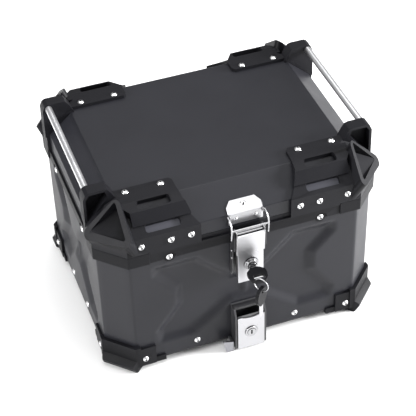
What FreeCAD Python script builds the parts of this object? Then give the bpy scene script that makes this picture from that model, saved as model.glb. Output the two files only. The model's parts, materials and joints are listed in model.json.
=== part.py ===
"""Motorcycle top case: aluminium box with a hinged lid, corner guards, side bars,
a draw latch with its lock and keys, and a key-locked release plate at the foot.

Millimetres. +X is the case's right side seen from the latch, the latch faces -Y, +Z is up.
The case is drawn about its own middle with the lower edge of the wall at height 0, and every
sub-part is then moved by the same placement, so that the feet stand on Z = 0.
"""
import FreeCAD, Part
import math
import os
import Sketcher

V = FreeCAD.Vector
X, Y, Z = V(1, 0, 0), V(0, 1, 0), V(0, 0, 1)

DIMENSIONS = {
    # case body
    "half_width": 206, "half_depth": 167.5, "corner_cut": 36, "wall_height": 204, "wall": 2,
    "foot_height": 13, "centre_shift": 26.2,
    "pan_height": 20, "pan_thick": 2, "plate_thick": 3, "plate_half_x": 110, "plate_half_y": 85,
    "bolt_half_x": 80, "bolt_half_y": 60, "bolt_radius": 3.25,
    # rim trim on top of the body
    "rim_low": 192.5, "rim_top": 209, "rim_proud": 3, "rim_half_x": 141, "rim_half_y": 102,
    "rim_inside": 6, "corner_rim_proud": 5, "corner_rim_top": 212,
    # lid
    "frame_low": 209.5, "frame_top": 216.5, "frame_inside": 14, "skirt_top": 239.5,
    "lid_top": 270.7, "panel_half_x": 170.6, "panel_half_y": 128, "panel_cut": 20, "lid_wall": 2,
    "guard_thick": 5,
    # side bars
    "bar_radius": 5, "bar_x": 203, "bar_z": 286, "bar_half_length": 100,
    # lid hinge at the back
    "hinge_out": 6.5, "hinge_z": 211, "hinge_x": 40, "knuckle_radius": 3.4, "pin_radius": 1.5,
    # draw latch
    "latch_half": 23.5, "lever_half": 21, "lever_low_half": 19, "lever_out": 20,
    "latch_pin_out": 11, "latch_pin_z": 214, "sheet_metal": 1.5, "keeper_half": 25.5,
    "bail_x": 27.0, "bail_wire": 1.2, "bail_pivot_out": 4.2, "bail_pivot_z": 239.2,
    # locks and keys
    "lock_z": 160, "lock_radius": 10, "plug_radius": 6.2, "key_thick": 5,
    "ring_radius": 10.8, "ring_wire": 0.8,
    # release plate at the foot
    "release_half": 20.5, "release_low": -8, "release_high": 55, "release_out": 20,
    "release_pivot_out": 14, "release_pivot_z": -5.5, "release_lock_z": 24,
}

doc = FreeCAD.newDocument("top_case")
sheet = doc.addObject("Spreadsheet::Sheet", "sheet")
for row, (alias, value) in enumerate(DIMENSIONS.items(), start=1):
    sheet.set(f"A{row}", alias)
    sheet.set(f"B{row}", str(value))
    sheet.setAlias(f"B{row}", alias)
doc.recompute()


def size(alias):
    """A driving dimension, read from the sheet."""
    return float(getattr(sheet, alias))


FRONT = -size("half_depth")
sub_parts = []


def finish(obj, label):
    """Give a sub-part its name and the placement that all of them share."""
    obj.Label = label
    obj.setExpression("Placement.Base.y", "sheet.centre_shift")
    obj.setExpression("Placement.Base.z", "sheet.foot_height")
    sub_parts.append(obj)
    return obj


def coded(label, shape):
    """A sub-part whose shape is made by this file's own functions."""
    obj = doc.addObject("Part::Feature", label)
    obj.Shape = shape
    return finish(obj, label)


# ---------------------------------------------------------------- shape helpers

def box(x0, x1, y0, y1, z0, z1):
    return Part.makeBox(x1 - x0, y1 - y0, z1 - z0, V(x0, y0, z0))


def rod(start, direction, length, radius):
    return Part.makeCylinder(radius, length, start, direction)


def prism(points, shift):
    """A closed polygon of 3D points, pushed along a vector."""
    return Part.Face(Part.makePolygon(points + points[:1])).extrude(shift)


def plan_prism(points, z0, z1):
    return prism([V(x, y, z0) for x, y in points], V(0, 0, z1 - z0))


def side_prism(points, x0, x1):
    """Points are (distance out from the front face, height)."""
    return prism([V(x0, FRONT - out, z) for out, z in points], V(x1 - x0, 0, 0))


def slot_prism(x0, x1, y0, y1, z0, z1, radius):
    """A box with its four upright edges rounded."""
    block = box(x0, x1, y0, y1, z0, z1)
    upright = [e for e in block.Edges if abs(e.tangentAt(e.FirstParameter).z) > 0.9]
    return block.makeFillet(radius, upright)


def octagon(half_x, half_y, cut, z):
    corners = [(half_x, half_y - cut), (half_x - cut, half_y), (cut - half_x, half_y), (-half_x, half_y - cut),
               (-half_x, cut - half_y), (cut - half_x, -half_y), (half_x - cut, -half_y), (half_x, cut - half_y)]
    return Part.makePolygon([V(x, y, z) for x, y in corners + corners[:1]])


CUT_GROWTH = 2 - math.sqrt(2)     # growth of an octagon's corner cut per millimetre of offset


def frustum(low_wire, high_wire):
    """A solid between two polygons with parallel sides, with flat faces all round."""
    low = [v.Point for v in low_wire.OrderedVertexes]
    high = [v.Point for v in high_wire.OrderedVertexes]
    rings = [low, high[::-1]]
    count = len(low)
    for k in range(count):
        after = (k + 1) % count
        rings.append([low[k], low[after], high[after], high[k]])
    faces = [Part.Face(Part.makePolygon(ring + ring[:1])) for ring in rings]
    solid = Part.Solid(Part.makeShell(faces))
    if solid.Volume < 0:
        solid.reverse()
    return solid


def outline(offset, z):
    """The case's plan outline, moved out by an offset."""
    return octagon(size("half_width") + offset, size("half_depth") + offset,
                   size("corner_cut") + CUT_GROWTH * offset, z)


def tube(outer, inner, z0, z1):
    """The space between two offsets of the case's outline."""
    skin = Part.Face(outline(outer, z0)).extrude(V(0, 0, z1 - z0))
    return skin.cut(Part.Face(outline(inner, z0)).extrude(V(0, 0, z1 - z0)))


def lid_solid(offset, z0):
    """The lid's outer form as a solid: an upright skirt, then a bevel up to the top panel."""
    bend = size("skirt_top") + 0.47 * offset
    top = size("lid_top") + offset
    skirt = Part.Face(outline(offset, z0)).extrude(V(0, 0, bend - z0))
    panel = octagon(size("panel_half_x") + 0.38 * offset, size("panel_half_y") + 0.35 * offset,
                    size("panel_cut") + 0.3 * offset, top)
    return skirt.fuse(frustum(outline(offset, bend), panel)).removeSplitter()


# ---------------------------------------------------------------- parametric helpers

def origin_plane(body, role):
    return [feature for feature in body.Origin.OriginFeatures if feature.Role == role][0]


def new_sketch(body, name, role):
    sketch = body.newObject("Sketcher::SketchObject", name)
    sketch.AttachmentSupport = (origin_plane(body, role), [""])
    sketch.MapMode = "FlatFace"
    return sketch


def bind(sketch, index, text):
    sketch.setExpression(f"Constraints[{index}]", text)


def add_loop(sketch, corners):
    """A closed polygon whose corners are held by two expressions each."""
    count, first = len(corners), sketch.GeometryCount
    start = [V(100 * math.cos(2 * math.pi * k / count), 100 * math.sin(2 * math.pi * k / count), 0)
             for k in range(count)]
    for k in range(count):
        sketch.addGeometry(Part.LineSegment(start[k], start[(k + 1) % count]))
    for k in range(count):
        sketch.addConstraint(Sketcher.Constraint("Coincident", first + k, 2, first + (k + 1) % count, 1))
    for k, corner in enumerate(corners):
        for kind, text in zip(("DistanceX", "DistanceY"), corner):
            bind(sketch, sketch.addConstraint(Sketcher.Constraint(kind, -1, 1, first + k, 1, 1.0)), str(text))


def add_circle(sketch, x, y, radius):
    index = sketch.addGeometry(Part.Circle(V(1, 1, 0), Z, 2))
    for kind, text in (("DistanceX", x), ("DistanceY", y)):
        bind(sketch, sketch.addConstraint(Sketcher.Constraint(kind, -1, 1, index, 3, 1.0)), str(text))
    bind(sketch, sketch.addConstraint(Sketcher.Constraint("Radius", index, 2.0)), str(radius))


def octagon_corners(offset):
    """The case's outline as expressions, moved out by an expression."""
    wide = f"(sheet.half_width + {offset})"
    deep = f"(sheet.half_depth + {offset})"
    cut = f"(sheet.corner_cut + {CUT_GROWTH:.4f} * ({offset}))"
    quarter = [(wide, f"({deep} - {cut})"), (f"({wide} - {cut})", deep)]
    signs = [(1, 1), (-1, 1), (-1, -1), (1, -1)]
    corners = []
    for number, (sx, sy) in enumerate(signs):
        pair = quarter if number % 2 == 0 else quarter[::-1]
        corners += [(f"{sx} * {x}", f"{sy} * {y}") for x, y in pair]
    return corners


def pad(body, name, sketch, length, start=None, middle=False):
    feature = body.newObject("PartDesign::Pad", name)
    feature.Profile = sketch
    feature.setExpression("Length", length)
    if middle:
        feature.Midplane = True
    if start is not None:
        sketch.setExpression("AttachmentOffset.Base.z", start)
    return feature


def pocket(body, name, sketch, length, start, reverse=False):
    """A pocket that starts at a height and must take material away."""
    doc.recompute()
    before = body.Shape.Volume
    feature = body.newObject("PartDesign::Pocket", name)
    feature.Profile = sketch
    feature.setExpression("Length", length)
    feature.Reversed = reverse
    sketch.setExpression("AttachmentOffset.Base.z", start)
    doc.recompute()
    if not body.Shape.Volume < before - 1:
        raise RuntimeError(f"{body.Label}: pocket {name} cuts nothing")
    return feature


def ring_body(label, outer, inner, start, length):
    """A flat ring between two offsets of the case's outline."""
    body = doc.addObject("PartDesign::Body", label)
    sketch = new_sketch(body, label + "_outline", "XY_Plane")
    add_loop(sketch, octagon_corners(outer))
    add_loop(sketch, octagon_corners(inner))
    pad(body, label + "_pad", sketch, length, start)
    return finish(body, label)


# ---------------------------------------------------------------- fasteners

HEAD_RADIUS, HEAD_HEIGHT, SHANK_RADIUS, HEX_RADIUS = 4.75, 2.7, 2.5, 1.75


def button_screw(point, direction, shank):
    """A domed cap screw whose head sits on the point; the shank goes into the metal."""
    dome_radius = (HEAD_RADIUS ** 2 + HEAD_HEIGHT ** 2) / (2 * HEAD_HEIGHT)
    dome = Part.makeSphere(dome_radius, V(0, 0, HEAD_HEIGHT - dome_radius))
    head = Part.makeCylinder(HEAD_RADIUS, HEAD_HEIGHT).common(dome)
    hexagon = [V(HEX_RADIUS * math.cos(k * math.pi / 3), HEX_RADIUS * math.sin(k * math.pi / 3), 1.2)
               for k in range(6)]
    screw = head.cut(prism(hexagon, V(0, 0, 3)))
    screw = screw.fuse(Part.makeCylinder(SHANK_RADIUS, shank + 0.5, V(0, 0, -shank)))
    screw = screw.cut(prism(hexagon, V(0, 0, 3)))
    screw.Placement = FreeCAD.Placement(point, FreeCAD.Rotation(Z, direction))
    return screw


def dome_rivet(point, direction, radius=2.8, height=1.6, shank=0):
    """A rivet with a domed head that sits on the point."""
    dome_radius = (radius ** 2 + height ** 2) / (2 * height)
    head = Part.makeSphere(dome_radius, V(0, 0, height - dome_radius))
    head = head.common(Part.makeCylinder(radius, height))
    rivet = head.fuse(Part.makeCylinder(radius / 2, shank, V(0, 0, -shank))) if shank else head
    rivet.Placement = FreeCAD.Placement(point, FreeCAD.Rotation(Z, direction))
    return rivet


def drill(shape, seats, depth, radius=SHANK_RADIUS):
    """Clearance holes for screws, given as (seat point, outward direction)."""
    for point, direction in seats:
        start = point + direction * 6
        shape = shape.cut(Part.makeCylinder(radius, depth + 6, start, direction * -1))
    return shape


def mirrored(shape, sx, sy):
    """A quarter of the case, drawn at the back right, moved to another corner."""
    if sx < 0:
        shape = shape.mirror(V(0, 0, 0), X)
    if sy < 0:
        shape = shape.mirror(V(0, 0, 0), Y)
    return shape


def mirrored_seats(seats, sx, sy):
    return [(V(p.x * sx, p.y * sy, p.z), V(d.x * sx, d.y * sy, d.z)) for p, d in seats]


CORNERS = {"front_left": (-1, -1), "front_right": (1, -1), "rear_left": (-1, 1), "rear_right": (1, 1)}
SIDES = {"left": -1, "right": 1}

# ---------------------------------------------------------------- case body

half_width, half_depth = size("half_width"), size("half_depth")

RIM_SCREW_X, RIM_SCREW_Y, RIM_SCREW_Z = 112, 70, 193.8
BOSS_RADIUS, BOSS_PROUD = 8.2, 1.6
GUARD_SCREW_X, GUARD_SCREW_Y, GUARD_SCREW_Z = 157.5, 119, 9
LOW_RIVET_X, LOW_RIVET_Y, LOW_RIVET_Z = 76.5, 38, 14.4
SHANK_DEPTH = 4

rim_seats = [(V(sx * RIM_SCREW_X, sy * (half_depth + BOSS_PROUD), RIM_SCREW_Z), Y * sy)
             for sx in (-1, 1) for sy in (-1, 1)]
rim_seats += [(V(sx * (half_width + BOSS_PROUD), sy * RIM_SCREW_Y, RIM_SCREW_Z), X * sx)
              for sx in (-1, 1) for sy in (-1, 1)]
low_seats = [(V(sx * LOW_RIVET_X, sy * half_depth, LOW_RIVET_Z), Y * sy) for sx in (-1, 1) for sy in (-1, 1)]
low_seats += [(V(sx * half_width, sy * LOW_RIVET_Y, LOW_RIVET_Z), X * sx) for sx in (-1, 1) for sy in (-1, 1)]

FOOT_WALL = 4
foot_seats = []
for sx in (-1, 1):
    for sy in (-1, 1):
        foot_seats.append((V(sx * GUARD_SCREW_X, sy * (half_depth + FOOT_WALL), GUARD_SCREW_Z), Y * sy))
        foot_seats.append((V(sx * (half_width + FOOT_WALL), sy * GUARD_SCREW_Y, GUARD_SCREW_Z), X * sx))

wall_body = ring_body("body_wall_blank", "0", "-sheet.wall", "0", "sheet.wall_height")
sub_parts.remove(wall_body)
doc.recompute()
blank = wall_body.Shape.copy()
blank.Placement = FreeCAD.Placement()
wall_shape = drill(drill(drill(blank, rim_seats, 12), low_seats, 12), foot_seats, 12)
coded("body_wall", wall_shape)

pan = doc.addObject("PartDesign::Body", "bottom_pan_blank")
pan_sketch = new_sketch(pan, "pan_outline", "XY_Plane")
add_loop(pan_sketch, octagon_corners("-sheet.wall"))
pad(pan, "pan_pad", pan_sketch, "sheet.pan_height")
well_sketch = new_sketch(pan, "pan_well", "XY_Plane")
add_loop(well_sketch, octagon_corners("-sheet.wall - sheet.pan_thick"))
pocket(pan, "pan_pocket", well_sketch, "sheet.pan_height - sheet.pan_thick", "sheet.pan_height")
bolt_sketch = new_sketch(pan, "pan_bolts", "XY_Plane")
for sx in (-1, 1):
    for sy in (-1, 1):
        add_circle(bolt_sketch, f"{sx} * sheet.bolt_half_x", f"{sy} * sheet.bolt_half_y", "sheet.bolt_radius")
pocket(pan, "pan_bolt_holes", bolt_sketch, "sheet.pan_thick + 1", "sheet.pan_thick + 0.5")
doc.recompute()
pan_shape = pan.Shape.copy()
pan_shape = drill(drill(pan_shape, low_seats, 12), foot_seats, 12)
coded("bottom_pan", pan_shape)

mount_plate = doc.addObject("PartDesign::Body", "mount_plate")
plate_sketch = new_sketch(mount_plate, "plate_outline", "XY_Plane")
add_loop(plate_sketch, [(f"{sx} * sheet.plate_half_x", f"{sy} * sheet.plate_half_y")
                        for sx, sy in ((1, 1), (-1, 1), (-1, -1), (1, -1))])
for sx in (-1, 1):
    for sy in (-1, 1):
        add_circle(plate_sketch, f"{sx} * sheet.bolt_half_x", f"{sy} * sheet.bolt_half_y", "sheet.bolt_radius")
pad(mount_plate, "plate_pad", plate_sketch, "sheet.plate_thick", "sheet.pan_thick")
finish(mount_plate, "mount_plate")

# ---------------------------------------------------------------- rim trim

rim_low, rim_top, proud = size("rim_low"), size("rim_top"), size("rim_proud")
inside = size("rim_inside")
wall_top, wall = size("wall_height"), size("wall")


def rim_section(outer, lip_top):
    """The trim's section as (out, height), hooked over the wall's top edge."""
    return [(outer, rim_low), (outer, lip_top), (1.2, lip_top), (1.2, rim_top), (-inside, rim_top),
            (-inside, 196), (-wall, 196), (-wall, wall_top), (0, wall_top), (0, rim_low)]


def rim_strip(x_limit, screws):
    """A straight length of trim along the front, drawn about the middle of its side."""
    section = rim_section(proud, rim_top)
    strip = side_prism(section, -x_limit, x_limit)
    for x in screws:
        seat = V(x, FRONT, RIM_SCREW_Z)
        strip = strip.cut(rod(seat + Y * -BOSS_PROUD, -Y, 5, BOSS_RADIUS + 1.2))
        strip = strip.fuse(rod(seat, -Y, BOSS_PROUD, BOSS_RADIUS))
    return strip.removeSplitter()


front_strip = rim_strip(size("rim_half_x"), (-RIM_SCREW_X, RIM_SCREW_X))
side_strip = rim_strip(size("rim_half_y"), (-RIM_SCREW_Y, RIM_SCREW_Y))
side_strip.translate(V(0, half_depth, 0))
coded("rim_strip_front", drill(front_strip, rim_seats, 12))
coded("rim_strip_rear", drill(front_strip.mirror(V(0, 0, 0), Y), rim_seats, 12))
for side, sx in SIDES.items():
    strip = side_strip.copy()
    strip.rotate(V(0, 0, 0), Z, 90 * sx)
    strip.translate(V(sx * half_width, 0, 0))
    coded(f"rim_strip_{side}", drill(strip, rim_seats, 12))


def rim_corner():
    """The trim's corner cap, thicker than the strips and with a raised lip."""
    reach = size("corner_rim_proud")
    cap_top = size("corner_rim_top")
    cap = tube(reach, 0, rim_low, cap_top)
    cap = cap.cut(tube(1.2, -1, rim_top, cap_top + 1))
    cap = cap.fuse([tube(0.1, -inside, wall_top, rim_top), tube(-wall, -inside, 196, wall_top + 0.1)])
    quarter = box(size("rim_half_x"), half_width + 20, size("rim_half_y"), half_depth + 20, 180, 220)
    return cap.common(quarter).removeSplitter()


rim_cap = rim_corner()
for corner, (sx, sy) in CORNERS.items():
    coded(f"rim_corner_{corner}", mirrored(rim_cap, sx, sy))

# ---------------------------------------------------------------- feet on the lower corners

FOOT_TOP, FOOT_LEDGE = 30, 4


def foot():
    """A lower corner guard: a wrap on the wall, a ledge below it and a flared gusset."""
    low = -size("foot_height")
    wrap = tube(FOOT_WALL, 0, -FOOT_LEDGE, FOOT_TOP)
    wrap = wrap.common(box(141, 230, 96, 200, -20, 40))
    tall_gusset = tube(FOOT_WALL + 1.5, 0, -FOOT_LEDGE, FOOT_TOP + 5)
    across = half_width + half_depth - size("corner_cut")
    beyond = [(half_width + 20, half_depth - size("corner_cut") - 6), (half_width + 20, half_depth + 20),
              (half_width - size("corner_cut") - 6, half_depth + 20),
              (across - half_depth - 6, half_depth - 12), (half_width - 12, across - half_width - 6)]
    tall_gusset = tall_gusset.common(plan_prism(beyond, -20, 40))
    ledge = tube(FOOT_WALL - 1, -8, -FOOT_LEDGE, 0).common(box(126, 230, 84, 200, -20, 40))
    ledge = ledge.fuse(tube(FOOT_WALL - 1, 0, -0.5, 6).common(box(126, 230, 84, 200, -20, 40)))
    middle = V(half_width - size("corner_cut") / 2, half_depth - size("corner_cut") / 2, 0)
    out = V(1, 1, 0).normalize()
    along = V(-1, 1, 0).normalize()
    section = [(-16, 0), (-16, low), (6, low), (12.5, -1), (12.5, 3), (FOOT_WALL + 1, 10), (0, 10), (0, 0)]
    flare_half = 29
    corners = [middle + along * -flare_half + out * o + Z * z for o, z in section]
    flare = prism(corners, along * (2 * flare_half))
    for side in (-1, 1):
        edge = middle + along * (side * flare_half)
        slant = [edge + out * -30 + along * (side * 0.1), edge + out * 30 + along * (side * 0.1),
                 edge + out * 30 - along * (side * 11), edge + out * 4 - along * (side * 0)]
        cutter = prism([p + Z * -20 for p in slant], V(0, 0, 60))
        flare = flare.cut(cutter)
    return wrap.fuse([tall_gusset, ledge, flare]).removeSplitter()


foot_shape = foot()
quarter_foot_seats = [s for s in foot_seats if s[0].x > 0 and s[0].y > 0]
foot_shape = drill(foot_shape, quarter_foot_seats, 12)
for corner, (sx, sy) in CORNERS.items():
    coded(f"foot_guard_{corner}", mirrored(foot_shape, sx, sy))

# ---------------------------------------------------------------- lid

frame_low, frame_top = size("frame_low"), size("frame_top")

frame = tube(0, -size("frame_inside"), frame_low, frame_top)
GROOVE_OUT, GROOVE_IN, GROOVE_DEPTH = -1.6, -6.4, 2.4
frame = frame.cut(tube(GROOVE_OUT, GROOVE_IN, frame_low, frame_low + GROOVE_DEPTH))
coded("lid_frame", frame)
ring_body("lid_gasket", str(GROOVE_OUT), str(GROOVE_IN), "sheet.frame_low - 0.3", str(GROOVE_DEPTH + 0.3))

shell = lid_solid(0, frame_top)
shell = shell.cut(lid_solid(-size("lid_wall"), frame_top))

GUARD_TOP = size("lid_top") + size("guard_thick")
guard_seats = [(V(101, 109.5, GUARD_TOP), Z), (V(152, 109.5, GUARD_TOP), Z)]
guard_seats += [(V(x, half_depth + size("guard_thick"), 227), Y) for x in (80, 109, 151.5)]
all_guard_seats = [seat for sx, sy in CORNERS.values() for seat in mirrored_seats(guard_seats, sx, sy)]
KEEPER_SCREW_Z = 248.3
bevel_run, bevel_rise = half_depth - size("panel_half_y"), size("lid_top") - size("skirt_top")
bevel_length = math.hypot(bevel_run, bevel_rise)
bevel_normal = V(0, -bevel_rise / bevel_length, bevel_run / bevel_length)
bevel_down = V(0, -bevel_run / bevel_length, -bevel_rise / bevel_length)


def on_front_bevel(x, z, lift):
    """A point on the front bevel at a height, lifted off along the bevel's normal."""
    back = (z - size("skirt_top")) * bevel_run / bevel_rise
    return V(x, FRONT + back, z) + bevel_normal * lift


keeper_seat = (on_front_bevel(0, 246.2, size("sheet_metal")), bevel_normal)
coded("lid_shell", drill(drill(shell, all_guard_seats, 14), [keeper_seat], 8))

# ---------------------------------------------------------------- lid corner guards

FIN_Z, FIN_OUT, FIN_FOOT_Z, FIN_FOOT_OUT = 271.5, 150.5, 255, 160.5
COLLAR_DEPTH = 45
FIN_INNER_SIDE = {"front": [(84, 122), (81.5, 147.5), (75, 160), (75, 166)],
                  "rear": [(84, 127), (99, 153), (103, 158), (103, 166)]}
EAR_BACK, EAR_FRONT = 97, 115


def corner_guard(end):
    """A moulded guard over the lid's corner, drawn at the back right."""
    thick = size("guard_thick")
    low = frame_low + 0.3
    layer = lid_solid(thick, low).cut(lid_solid(0, low - 1))
    region = [(88, 102), (84, 107), (84, 122), (81.5, 147.5), (75, 160), (65.5, 173), (65.5, 185),
              (240, 185), (240, 96.5), (168, 96.5), (168, 102)]
    guard = layer.common(plan_prism(region, low - 1, 320))

    # window low on the bevel, down to the lid's shell
    guard = guard.cut(slot_prism(92, 141.5, 157.2, 167.8, 236, 254, 3.5))

    # fin with the strap slot: a shelf that leaves the top plate and drops to the bevel
    section = [(120, GUARD_TOP), (132, GUARD_TOP), (FIN_OUT, FIN_Z), (FIN_FOOT_OUT, FIN_FOOT_Z),
               (FIN_FOOT_OUT - 5, FIN_FOOT_Z - 1.2), (FIN_OUT - 4.5, FIN_Z - 5), (132, GUARD_TOP - 5.2),
               (120, GUARD_TOP - 5.2)]
    fin = prism([V(60, y, z) for y, z in section], V(120, 0, 0))
    inner_side = FIN_INNER_SIDE[end]
    outer_side = [(158, 166), (158, 150), (168, 137), (168, 118)]
    fin_plan = [(84, 118)] + inner_side + outer_side
    fin = fin.common(plan_prism(fin_plan, 200, 320))
    # end walls close the fin down to the bevel
    ends = prism([V(60, y, z) for y, z in [(122, 271), (132, GUARD_TOP - 1), (FIN_OUT, FIN_Z - 0.5),
                                           (FIN_FOOT_OUT - 1, FIN_FOOT_Z), (155, 240)]], V(120, 0, 0))
    hollow_side = [(x + 5, y) for x, y in inner_side]
    inner_wall = inner_side + hollow_side[::-1]
    outer_wall = [(153, 122), (153, 166)] + outer_side
    walls = ends.common(plan_prism(inner_wall, 200, 320)).fuse(ends.common(plan_prism(outer_wall, 200, 320)))
    under_fin = plan_prism([(90, 118)] + hollow_side + [(153, 166), (153, 118)], 200, GUARD_TOP - 5.2)
    guard = guard.cut(under_fin.common(box(80, 160, 129, 153, 190, 300)))
    guard = guard.fuse([fin, walls])
    guard = guard.cut(slot_prism(98, 145, 133.5, 148, 255, 300, 4))

    # triangular collar that stands on the plate over the corner
    drop = V(-0.35, -0.3, -0.89)

    def collar_prism(corners, lift, radius):
        block = prism([p - drop * lift for p in corners], drop * (lift + COLLAR_DEPTH))
        slanted = [e for e in block.Edges if abs(e.tangentAt(e.FirstParameter).dot(drop)) > 0.98]
        return block.makeFillet(radius, slanted)

    collar = collar_prism([V(168, 131, 292), V(228, 124, 229), V(166, 192, 244)], 0, 9)
    opening = collar_prism([V(173, 133.5, 284.8), V(211, 132.4, 242.9), V(173.6, 177.7, 249.1)], 10, 2.5)
    guard = guard.fuse(collar).cut(opening.cut(lid_solid(thick, low - 30)))

    # ear that carries the end of the side bar, hollow towards the corner
    ear_side = [(166, 272), (172, 284), (177, 291), (182, 292.5), (204, 292.5), (208.5, 290), (212, 282),
                (212.5, 236), (206, 233), (166, 262)]
    ear = prism([V(x, EAR_BACK, z) for x, z in ear_side], V(0, EAR_FRONT - EAR_BACK, 0))
    hollow = [(178, 279), (181, 288.5), (203.5, 288.5), (208.5, 281), (208.5, 246), (204, 246)]
    scoop = prism([V(x, EAR_BACK + 4, z) for x, z in hollow], V(0, 40, 0))
    guard = guard.fuse(ear.cut(scoop))
    bar_end = rod(V(size("bar_x"), EAR_BACK - 1, size("bar_z")), Y, 4, size("bar_radius"))
    # clear of the lid's shell and of the body's raised corner cap
    step = tube(thick + 4, -20, low - 1, size("corner_rim_top") + 0.6)
    step = step.common(box(size("rim_half_x") - 0.8, 240, size("rim_half_y") - 0.8, 240, 190, 230))
    for cutter in (bar_end, lid_solid(0, low - 30), step, box(0, 300, 0, 300, 100, low)):
        guard = guard.cut(cutter)
    return guard.removeSplitter()


guard_shapes = {end: drill(corner_guard(end), guard_seats, 14) for end in FIN_INNER_SIDE}
for corner, (sx, sy) in CORNERS.items():
    coded(f"lid_guard_{corner}", mirrored(guard_shapes[corner.split("_")[0]], sx, sy))

for side, sx in SIDES.items():
    bar = doc.addObject("Part::Cylinder", f"side_bar_{side}_round")
    bar.setExpression("Radius", "sheet.bar_radius")
    bar.setExpression("Height", "2 * sheet.bar_half_length")
    bar.setExpression("Placement.Base.x", f"{sx} * sheet.bar_x")
    bar.Placement.Rotation = FreeCAD.Rotation(X, -90)
    bar.setExpression("Placement.Base.y", "-sheet.bar_half_length")
    bar.setExpression("Placement.Base.z", "sheet.bar_z")
    fuse = doc.addObject("Part::Compound", f"side_bar_{side}")
    fuse.Links = [bar]
    finish(fuse, f"side_bar_{side}")

# ---------------------------------------------------------------- lid hinges at the back

BACK = half_depth
hinge_y, hinge_z = BACK + size("hinge_out"), size("hinge_z")
knuckle, pin = size("knuckle_radius"), size("pin_radius")
LEAF_HALF, MIDDLE_HALF, KNUCKLE_GAP, LEAF_THICK = 23, 10, 0.4, 2
HINGE_HOLE = pin + 0.05


def back_prism(points, x0, x1):
    """Points are (distance out from the back face, height)."""
    return prism([V(x0, BACK + out, z) for out, z in points], V(x1 - x0, 0, 0))


hinge_pins = []
for side, sx in SIDES.items():
    middle_x = sx * size("hinge_x")
    leaf = back_prism([(proud, 188), (proud + LEAF_THICK, 188), (proud + LEAF_THICK, hinge_z), (proud, hinge_z)],
                      middle_x - LEAF_HALF, middle_x + LEAF_HALF)
    leaf = leaf.fuse(rod(V(middle_x - LEAF_HALF, hinge_y, hinge_z), X, 2 * LEAF_HALF, knuckle))
    gap_half = MIDDLE_HALF + KNUCKLE_GAP
    leaf = leaf.cut(box(middle_x - gap_half, middle_x + gap_half, hinge_y - 6, hinge_y + 6, 207, 216))
    leaf = leaf.cut(rod(V(middle_x - 30, hinge_y, hinge_z), X, 60, HINGE_HOLE))
    leaf_seats = [(V(middle_x + k * 15, BACK + proud + LEAF_THICK, 197), Y) for k in (-1, 1)]
    coded(f"hinge_leaf_body_{side}", drill(leaf, leaf_seats, 3, 1.5))

    upper = back_prism([(0, 218), (0, 237), (LEAF_THICK, 237), (LEAF_THICK, 219), (proud + LEAF_THICK, 215),
                        (proud + LEAF_THICK, hinge_z), (proud, hinge_z), (proud, 214)],
                       middle_x - LEAF_HALF, middle_x + LEAF_HALF)
    relief = box(middle_x - 30, middle_x - MIDDLE_HALF, hinge_y - 6, hinge_y + 6, 200, 215.2)
    relief = relief.fuse(box(middle_x + MIDDLE_HALF, middle_x + 30, hinge_y - 6, hinge_y + 6, 200, 215.2))
    upper = upper.fuse(rod(V(middle_x - MIDDLE_HALF, hinge_y, hinge_z), X, 2 * MIDDLE_HALF, knuckle)).cut(relief)
    upper = upper.cut(rod(V(middle_x - 30, hinge_y, hinge_z), X, 60, HINGE_HOLE))
    coded(f"hinge_leaf_lid_{side}", upper)

    pin_shape = rod(V(middle_x - LEAF_HALF - 0.5, hinge_y, hinge_z), X, 2 * LEAF_HALF + 1, pin)
    for end in (-1, 1):
        pin_shape = pin_shape.fuse(rod(V(middle_x + end * (LEAF_HALF + 0.1), hinge_y, hinge_z), X * end, 1, 2.4))
    hinge_pins.append(pin_shape)

coded("hinge_pins", Part.makeCompound(hinge_pins))

leaf_x = [sx * size("hinge_x") + k * 15 for sx in (-1, 1) for k in (-1, 1)]
body_rivets = [dome_rivet(V(x, BACK + proud + LEAF_THICK, 197), Y, shank=2) for x in leaf_x]
lid_rivets = [dome_rivet(V(x, BACK + LEAF_THICK, 230), Y) for x in leaf_x]

# ---------------------------------------------------------------- keeper on the lid

metal = size("sheet_metal")
keeper_half = size("keeper_half")


def keeper():
    """A bent plate: up the bevel, down the skirt, with two ears for the bail."""
    top_point = on_front_bevel(0, 251.4, 0)
    bend_out = metal * math.tan(math.atan2(bevel_run, bevel_rise) / 2)
    top_outer = top_point + bevel_normal * metal
    section = [(0, 222.5), (metal, 222.5), (metal, size("skirt_top") + bend_out),
               (FRONT - top_outer.y, top_outer.z), (FRONT - top_point.y, top_point.z), (0, size("skirt_top"))]
    plate = side_prism(section, -keeper_half, keeper_half)
    trim_low, trim_high = on_front_bevel(0, 245.5, 0), on_front_bevel(0, 251.6, 0)
    for sx in (-1, 1):
        corner = [trim_low + X * (sx * (keeper_half + 0.2)), trim_high + X * (sx * (keeper_half + 0.2)),
                  trim_high + X * (sx * 18)]
        plate = plate.cut(prism([p - bevel_normal * 2 for p in corner], bevel_normal * 6))
    ears = []
    for sx in (-1, 1):
        inner = sx * (keeper_half - metal)
        outer = sx * keeper_half
        ears.append(side_prism([(0.6, 234), (5.5, 236), (7, 239.2), (5.5, 242), (0.6, 241.4)],
                               min(inner, outer), max(inner, outer)))
    return plate.fuse(ears).removeSplitter()


keeper_shape = drill(keeper(), [keeper_seat], 3)
pivot = V(0, FRONT - size("bail_pivot_out"), size("bail_pivot_z"))
keeper_shape = keeper_shape.cut(rod(pivot - X * 40, X, 80, size("bail_wire") + 0.05))
coded("keeper", keeper_shape)
lid_rivets += [dome_rivet(V(sx * 14.3, FRONT - metal, 231), -Y, 3.0, 1.8) for sx in (-1, 1)]
coded("lid_rivets", Part.makeCompound(lid_rivets))

# ---------------------------------------------------------------- bail

bail_x, wire = size("bail_x"), size("bail_wire")


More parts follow.
